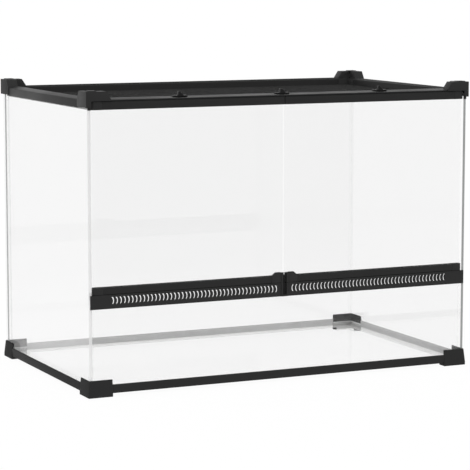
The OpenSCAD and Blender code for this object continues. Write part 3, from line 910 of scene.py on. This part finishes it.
@dataclass
class SiliconeBeads:
    """The beads along the floor and up the inner corners, smoothed to a hollow curve.

    Each wave in the bead's width has a length (in mm for one radian), a share of the bead's
    phase and a strength.
    """

    shop: Workshop
    arc_steps: int = 5
    station_mm: float = 9.0
    sway: float = 0.07
    waves: tuple[tuple[float, float, float], ...] = ((31.0, 1.0, 0.35), (11.0, 2.3, 0.15))
    floor_phase: float = 0.4
    corner_phase: float = 2.0
    strip_gap_mm: float = 0.5
    crease_angle: float = math.radians(50.0)

    def leg_factor(self, along: float, phase: float) -> float:
        """How wide the bead is at a place, since a hand drew it.

        Args:
            along: How far along the bead the place is.
            phase: Where the bead's own waves start.

        Returns:
            The width as a share of the bead's leg, never more than 1.
        """
        swing = sum(
            strength * math.sin(along / (length * MM) + share * phase)
            for length, share, strength in self.waves
        )
        return 1.0 - self.sway * (0.5 + swing)

    def profile(self, leg: float) -> list[tuple[float, float]]:
        """The hollow face of the bead and the corner behind it.

        Args:
            leg: How far the bead reaches along both panes.

        Returns:
            Points (along the first pane, along the second).
        """
        points = [(0.0, 0.0), (leg, 0.0)]
        for step in range(1, self.arc_steps):
            turn = math.pi / 2 * step / self.arc_steps
            points.append((leg * (1 - math.sin(turn)), leg * (1 - math.cos(turn))))
        return points + [(0.0, leg)]

    def skin(self, bead: bmesh.types.BMesh, rings: list[list[Any]], closed: bool) -> None:
        """Joins rings of points to a tube.

        Args:
            bead: The mesh that holds the points.
            rings: The rings in order along the bead.
            closed: Whether the last ring joins the first.
        """
        count = len(rings[0])
        pairs = list(zip(rings, rings[1:] + rings[:1])) if closed else list(zip(rings, rings[1:]))
        for here, there in pairs:
            for i in range(count):
                j = (i + 1) % count
                bead.faces.new((here[i], here[j], there[j], there[i]))
        if not closed:
            bead.faces.new(rings[0])
            bead.faces.new(list(reversed(rings[-1])))

    def finish(self, bead: bmesh.types.BMesh, name: str, node: str) -> None:
        """Makes the bead's mesh a piece.

        Args:
            bead: The finished bead, which is freed.
            name: The piece's name.
            node: The CAD node that it replaces.
        """
        bmesh.ops.recalc_face_normals(bead, faces=bead.faces)
        mesh = bpy.data.meshes.new(name)
        bead.to_mesh(mesh)
        bead.free()
        mesh.materials.append(self.shop.finishes.silicone)
        for face in mesh.polygons:
            face.use_smooth = True
        mesh.set_sharp_from_angle(angle=self.crease_angle)
        self.shop.place(mesh, name, node)

    def build_floor(self) -> None:
        """Makes the bead round the floor, mitred in the corners."""
        low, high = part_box("floor_seal")
        leg = high.z - low.z
        bead = bmesh.new()
        rings = []
        corners = [(low.x, low.y), (high.x, low.y), (high.x, high.y), (low.x, high.y)]
        inward = [(0, 1), (-1, 0), (0, -1), (1, 0)]
        for side in range(4):
            (x0, y0), (x1, y1) = corners[side], corners[(side + 1) % 4]
            length = abs(x1 - x0) + abs(y1 - y0)
            count = max(2, round(length / (self.station_mm * MM)))
            before = inward[side - 1]
            for step in range(count):
                share = step / count
                nx, ny = inward[side]
                if step == 0:
                    nx, ny = nx + before[0], ny + before[1]
                width = leg * self.leg_factor(length * share, side + self.floor_phase)
                x, y = x0 + (x1 - x0) * share, y0 + (y1 - y0) * share
                rings.append(
                    [bead.verts.new((x + u * nx, y + u * ny, low.z + v)) for u, v in self.profile(width)]
                )
        self.skin(bead, rings, closed=True)
        self.finish(bead, "floor_bead", "floor_seal")

    def build_corners(self) -> None:
        """Makes the four beads up the inner corners."""
        low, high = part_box("corner_seals")
        floor_low, floor_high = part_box("floor_seal")
        leg = floor_high.z - floor_low.z
        strip_low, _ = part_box("vent_strip")
        bead = bmesh.new()
        for x, nx in ((low.x, 1), (high.x, -1)):
            for y, ny in ((low.y, 1), (high.y, -1)):
                top = strip_low.z - self.strip_gap_mm * MM if ny > 0 else high.z
                count = round((top - low.z) / (self.station_mm * MM))
                rings = []
                for step in range(count + 1):
                    z = low.z + (top - low.z) * step / count
                    width = leg * self.leg_factor(z, nx + self.corner_phase * ny)
                    rings.append(
                        [bead.verts.new((x + u * nx, y + v * ny, z)) for u, v in self.profile(width)]
                    )
                self.skin(bead, rings, closed=False)
        self.finish(bead, "corner_beads", "corner_seals")


@dataclass
class Tank:
    """The fixed glass box, its frame and the vent strip.

    An edge finish on faces within the cosine land covers a pane's flat edge alone, and one
    within rounding covers the chamfers beside it too.
    """

    shop: Workshop
    corner_ease_mm: float = 0.5
    rail_ease_mm: float = 0.3
    wide_arris_mm: float = 1.1
    land: float = 0.95
    rounding: float = 0.6

    def build_panes(self) -> None:
        """Replaces the fixed panes."""
        # Real glass bends light, so the images in the floor's two faces nearly fall together.
        # The straight light here would part them, so the underside has no image at low angles.
        floor = self.shop.glaze("floor_glass", Run.UP).data
        floor.materials.append(self.shop.finishes.underside)
        for face in floor.polygons:
            if face.normal.z < -self.shop.level:
                face.material_index = len(floor.materials) - 1
        self.shop.glaze("rear_glass", Run.DEEP)
        self.shop.glaze("sill_glass", Run.DEEP)
        front, rear = Vector((0.0, -1.0, 0.0)), Vector((0.0, 1.0, 0.0))
        finishes = self.shop.finishes
        # The left pane's rear edge and the right pane's front edge get the painted shade, the left pane's
        # front edge the painted highlight.
        self.shop.glaze(
            "side_glass_left",
            Run.ACROSS,
            ((rear, self.land, finishes.painted_shade_edge), (front, self.rounding, finishes.painted_highlight_edge)),
            arris_mm=self.wide_arris_mm,
        )
        self.shop.glaze("side_glass_right", Run.ACROSS, ((front, self.land, finishes.painted_shade_edge),))

    def build_frame(self) -> None:
        """Eases the edges of the rails and the corner mouldings."""
        shop, finishes = self.shop, self.shop.finishes
        for place, run in RUNS.items():
            shop.soften(f"top_rail_{place}", finishes.extruded[run], self.rail_ease_mm)
            rail = shop.soften(f"bottom_rail_{place}", finishes.base_rail[run], self.rail_ease_mm)
            shop.bed(rail, finishes.bonded_rail)
        for end in ("front", "rear"):
            for side in Side:
                place = f"{end}_{side.value}"
                shop.soften(f"top_corner_{place}", finishes.moulded, self.corner_ease_mm)
                foot = shop.soften(f"bottom_corner_{place}", finishes.foot, self.corner_ease_mm)
                shop.bed(foot, finishes.bonded_foot)

    def build_strip(self) -> None:
        """Dresses the slotted strip and eases its hinge brackets."""
        self.shop.dress("vent_strip", self.shop.finishes.moulded)
        for side in Side:
            self.shop.soften(f"hinge_bracket_{side.value}", self.shop.finishes.moulded, self.rail_ease_mm)

    def build(self) -> None:
        """Builds the whole tank."""
        self.build_panes()
        self.build_frame()
        self.build_strip()
        beads = SiliconeBeads(self.shop)
        beads.build_floor()
        beads.build_corners()


@dataclass
class Door:
    """One of the two doors: a pane in two rails, hung on pins."""

    shop: Workshop
    side: Side
    ease_mm: float = 0.3

    def build(self) -> None:
        """Builds the door."""
        name = f"{self.side.value}_door"
        self.shop.glaze(f"{name}_glass", Run.DEEP)
        for part in ("upper_rail", "lower_rail"):
            self.shop.soften(f"{name}_{part}", self.shop.finishes.extruded[Run.ACROSS], self.ease_mm)
        for part in ("upper_knuckle", "lower_knuckle", "pull", "meeting"):
            self.shop.soften(f"{name}_{part}", self.shop.finishes.moulded, self.ease_mm)
        self.shop.dress(f"{name}_pins", self.shop.finishes.steel)


@dataclass
class Lid:
    """The screen lid: four rails and corner keys round a net of coated wire."""

    shop: Workshop
    mesh_mm: float = 1.06
    wire_mm: float = 0.22
    wire_sides: int = 6
    ease_mm: float = 0.25

    def net_tree(self) -> bpy.types.NodeTree:
        """The Geometry Nodes tree that lays two sheets of parallel wires across each other.

        Returns:
            A tree with the net's width, depth, mesh, wire and height as inputs.
        """
        tree = bpy.data.node_groups.new("wire_net", "GeometryNodeTree")
        tree.interface.new_socket("Geometry", in_out="OUTPUT", socket_type="NodeSocketGeometry")
        for label in ("Width", "Depth", "Mesh", "Wire", "Height"):
            tree.interface.new_socket(label, in_out="INPUT", socket_type="NodeSocketFloat")
        sizes = add(tree, "NodeGroupInput").outputs
        radius = add(tree, "ShaderNodeMath", {0: sizes["Wire"], 1: 0.5}, operation="MULTIPLY").outputs[0]
        section = add(
            tree, "GeometryNodeCurvePrimitiveCircle", {"Resolution": self.wire_sides, "Radius": radius}
        )
        sheets = []
        for across, length, turn, level in (
            ("Width", "Depth", 1, -0.5),
            ("Depth", "Width", 0, 0.5),
        ):
            half = add(tree, "ShaderNodeMath", {0: sizes[length], 1: 0.5}, operation="MULTIPLY").outputs[0]
            back = add(tree, "ShaderNodeMath", {0: half, 1: -1.0}, operation="MULTIPLY").outputs[0]
            ends = [add(tree, "ShaderNodeCombineXYZ", {turn: at}).outputs[0] for at in (back, half)]
            line = add(tree, "GeometryNodeCurvePrimitiveLine", {"Start": ends[0], "End": ends[1]})
            wire = add(
                tree,
                "GeometryNodeCurveToMesh",
                {"Curve": line.outputs[0], "Profile Curve": section.outputs[0], "Fill Caps": True},
            )
            span = add(tree, "ShaderNodeMath", {0: sizes[across], 1: sizes["Mesh"]}, operation="DIVIDE")
            whole = add(tree, "ShaderNodeMath", {0: span.outputs[0]}, operation="FLOOR").outputs[0]
            reach = add(tree, "ShaderNodeMath", {0: whole, 1: sizes["Mesh"]}, operation="MULTIPLY")
            start = add(tree, "ShaderNodeMath", {0: reach.outputs[0], 1: -0.5}, operation="MULTIPLY")
            count = add(tree, "ShaderNodeMath", {0: whole, 1: 1.0}, operation="ADD").outputs[0]
            lift = add(
                tree,
                "ShaderNodeMath",
                {0: sizes["Wire"], 1: level, 2: sizes["Height"]},
                operation="MULTIPLY_ADD",
            )
            corner = {1 - turn: start.outputs[0], 2: lift.outputs[0]}
            first = add(tree, "ShaderNodeCombineXYZ", corner).outputs[0]
            step = add(tree, "ShaderNodeCombineXYZ", {1 - turn: sizes["Mesh"]}).outputs[0]
            row = add(
                tree, "GeometryNodeMeshLine", {"Count": count, "Start Location": first, "Offset": step}
            )
            laid = add(
                tree,
                "GeometryNodeInstanceOnPoints",
                {"Points": row.outputs[0], "Instance": wire.outputs[0]},
            )
            sheets.append(laid.outputs[0])
        both = add(tree, "GeometryNodeJoinGeometry")
        for sheet in sheets:
            tree.links.new(sheet, both.inputs[0])
        real = add(tree, "GeometryNodeRealizeInstances", {"Geometry": both.outputs[0]})
        dressed = add(
            tree,
            "GeometryNodeSetMaterial",
            {"Geometry": real.outputs[0], "Material": self.shop.finishes.wire},
        )
        add(tree, "NodeGroupOutput", {"Geometry": dressed.outputs[0]})
        return tree

    def build_net(self) -> None:
        """Makes the net and puts it where the CAD screen lies."""
        low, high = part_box("lid_screen")
        maker = bpy.data.objects.new("net_maker", bpy.data.meshes.new("net_maker"))
        bpy.context.scene.collection.objects.link(maker)
        modifier = maker.modifiers.new("net", "NODES")
        modifier.node_group = self.net_tree()
        values = {
            "Width": high.x - low.x - self.wire_mm * MM,
            "Depth": high.y - low.y - self.wire_mm * MM,
            "Mesh": self.mesh_mm * MM,
            "Wire": self.wire_mm * MM,
            "Height": low.z + self.wire_mm * MM,
        }
        for item in modifier.node_group.interface.items_tree:
            if item.in_out == "INPUT":
                modifier[item.identifier] = values[item.name]
        bpy.context.view_layer.update()
        result = maker.evaluated_get(bpy.context.evaluated_depsgraph_get())
        mesh = bpy.data.meshes.new_from_object(result)
        mesh.name = "lid_net"
        bpy.data.objects.remove(maker)
        self.shop.place(mesh, "lid_net", "lid_screen")

    def build(self) -> None:
        """Builds the lid."""
        for place, run in RUNS.items():
            self.shop.soften(f"lid_rail_{place}", self.shop.finishes.extruded[run], self.ease_mm)
        self.shop.soften("lid_corners", self.shop.finishes.moulded, self.ease_mm)
        self.shop.dress("lid_spline", self.shop.finishes.cord)
        self.build_net()


@dataclass
class Fasteners:
    """The three turn clips of the lid and the lock slide of the doors."""

    shop: Workshop
    clip_ease_mm: float = 0.25
    lock_ease_mm: float = 0.15

    def build(self) -> None:
        """Eases and dresses the small moving mouldings."""
        # Their darker finish is partly painted shade.
        for place in ("left", "centre", "right"):
            self.shop.soften(f"clip_{place}", self.shop.finishes.clip, self.clip_ease_mm)
        for part in ("lock_slide", "lock_foot"):
            self.shop.soften(part, self.shop.finishes.clip, self.lock_ease_mm)


@dataclass
class Studio:
    """A white studio: a pale floor, an even white surround and the camera.

    The levels are shares of full white. Reaches along Y are in metres on the floor, and those
    of the surround are parts of a direction.
    """

    floor_size: float = 60.0
    paper: str = "#3a3a3a"
    paper_glow: float = 0.96
    stand_reach: tuple[float, float] = (-0.7, 0.3)
    stand_level: tuple[float, float] = (0.45, 0.95)
    card_level: tuple[float, float] = (0.68, 1.0)
    flank_reach: tuple[float, float] = (-0.4, 0.3)
    flank_level: float = 0.87
    camera_at: tuple[float, float, float] = (-1.099823, -2.375557, 0.493641)
    yaw_deg: float = 24.923
    pitch_deg: float = 7.3
    focal_px: float = 2115.128
    picture_px: float = 470.0
    sensor_mm: float = 36.0
    faces_deep: int = 32

    def build_floor(self) -> None:
        """Lays the floor, which is the stage and no part of the object."""
        half = self.floor_size / 2
        mesh = bpy.data.meshes.new("studio_floor")
        mesh.from_pydata(
            [(-half, -half, 0), (half, -half, 0), (half, half, 0), (-half, half, 0)], [], [(0, 1, 2, 3)]
        )
        material, tree, place = new_material("studio_paper")
        # The eye sees an evenly lit white sheet with the faintest contact shadow. What glass
        # and plastic mirror of it is darker in front, where the photographer's side is unlit.
        paper = add(tree, "ShaderNodeBsdfDiffuse", {"Color": linear(self.paper)})
        glow = add(tree, "ShaderNodeEmission", {"Strength": self.paper_glow})
        seen = add(tree, "ShaderNodeAddShader", {0: paper.outputs[0], 1: glow.outputs[0]})
        depth = add(tree, "ShaderNodeSeparateXYZ", {"Vector": place}).outputs["Y"]
        level = add(
            tree,
            "ShaderNodeMapRange",
            {
                "Value": depth,
                "From Min": self.stand_reach[0],
                "From Max": self.stand_reach[1],
                "To Min": self.stand_level[0],
                "To Max": self.stand_level[1],
            },
            interpolation_type="SMOOTHSTEP",
        )
        mirrored = add(tree, "ShaderNodeEmission", {"Strength": level.outputs[0]})
        ray = add(tree, "ShaderNodeLightPath").outputs["Is Camera Ray"]
        shader = add(tree, "ShaderNodeMixShader", {0: ray, 1: mirrored.outputs[0], 2: seen.outputs[0]})
        add(tree, "ShaderNodeOutputMaterial", {"Surface": shader.outputs[0]})
        mesh.materials.append(material)
        floor = bpy.data.objects.new("studio_floor", mesh)
        bpy.context.scene.collection.objects.link(floor)

    def build_light(self) -> None:
        """Makes the surround: white to the eye, and greyer in front and at the left in mirrors."""
        world = bpy.data.worlds.new("studio_white")
        world.use_nodes = True
        tree = world.node_tree
        tree.nodes.clear()
        toward = add(tree, "ShaderNodeTexCoord").outputs["Generated"]
        parts = add(tree, "ShaderNodeSeparateXYZ", {"Vector": toward}).outputs
        card = add(
            tree,
            "ShaderNodeMapRange",
            {
                "Value": parts["Y"],
                "From Min": -1.0,
                "From Max": 1.0,
                "To Min": self.card_level[0],
                "To Max": self.card_level[1],
            },
        )
        flank = add(
            tree,
            "ShaderNodeMapRange",
            {
                "Value": parts["X"],
                "From Min": self.flank_reach[0],
                "From Max": self.flank_reach[1],
                "To Min": self.flank_level,
            },
        )
        level = add(tree, "ShaderNodeMath", {0: card.outputs[0], 1: flank.outputs[0]}, operation="MULTIPLY")
        mirrored = add(tree, "ShaderNodeBackground", {"Color": WHITE, "Strength": level.outputs[0]})
        white = add(tree, "ShaderNodeBackground", {"Color": WHITE, "Strength": 1.0})
        ray = add(tree, "ShaderNodeLightPath").outputs["Is Glossy Ray"]
        both = add(tree, "ShaderNodeMixShader", {0: ray, 1: white.outputs[0], 2: mirrored.outputs[0]})
        add(tree, "ShaderNodeOutputWorld", {"Surface": both.outputs[0]})
        scene = bpy.context.scene
        scene.world = world
        scene.view_settings.view_transform = "Standard"
        # The default of 8 leaves what lies behind several panes and beads black.
        scene.cycles.transparent_max_bounces = self.faces_deep
        scene.cycles.max_bounces = self.faces_deep

    def build_camera(self) -> None:
        """Sets the camera at the photograph's place."""
        data = bpy.data.cameras.new("studio_camera")
        data.sensor_width = self.sensor_mm
        data.lens = self.focal_px / self.picture_px * self.sensor_mm
        data.clip_end = 200.0
        camera = bpy.data.objects.new("studio_camera", data)
        bpy.context.scene.collection.objects.link(camera)
        camera.location = self.camera_at
        camera.rotation_euler = (
            math.radians(90.0 - self.pitch_deg),
            0.0,
            math.radians(-self.yaw_deg),
        )
        bpy.context.scene.camera = camera

    def build(self) -> None:
        """Builds the studio."""
        self.build_floor()
        self.build_light()
        self.build_camera()


def main() -> None:
    """Builds the scene round the CAD frame."""
    logging.basicConfig(level=logging.INFO, format="%(name)s: %(message)s")
    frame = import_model()
    shop = Workshop(frame, Finishes())
    Tank(shop).build()
    for side in Side:
        Door(shop, side).build()
    Lid(shop).build()
    Fasteners(shop).build()
    Studio().build()


if __name__ == "__main__":
    main()
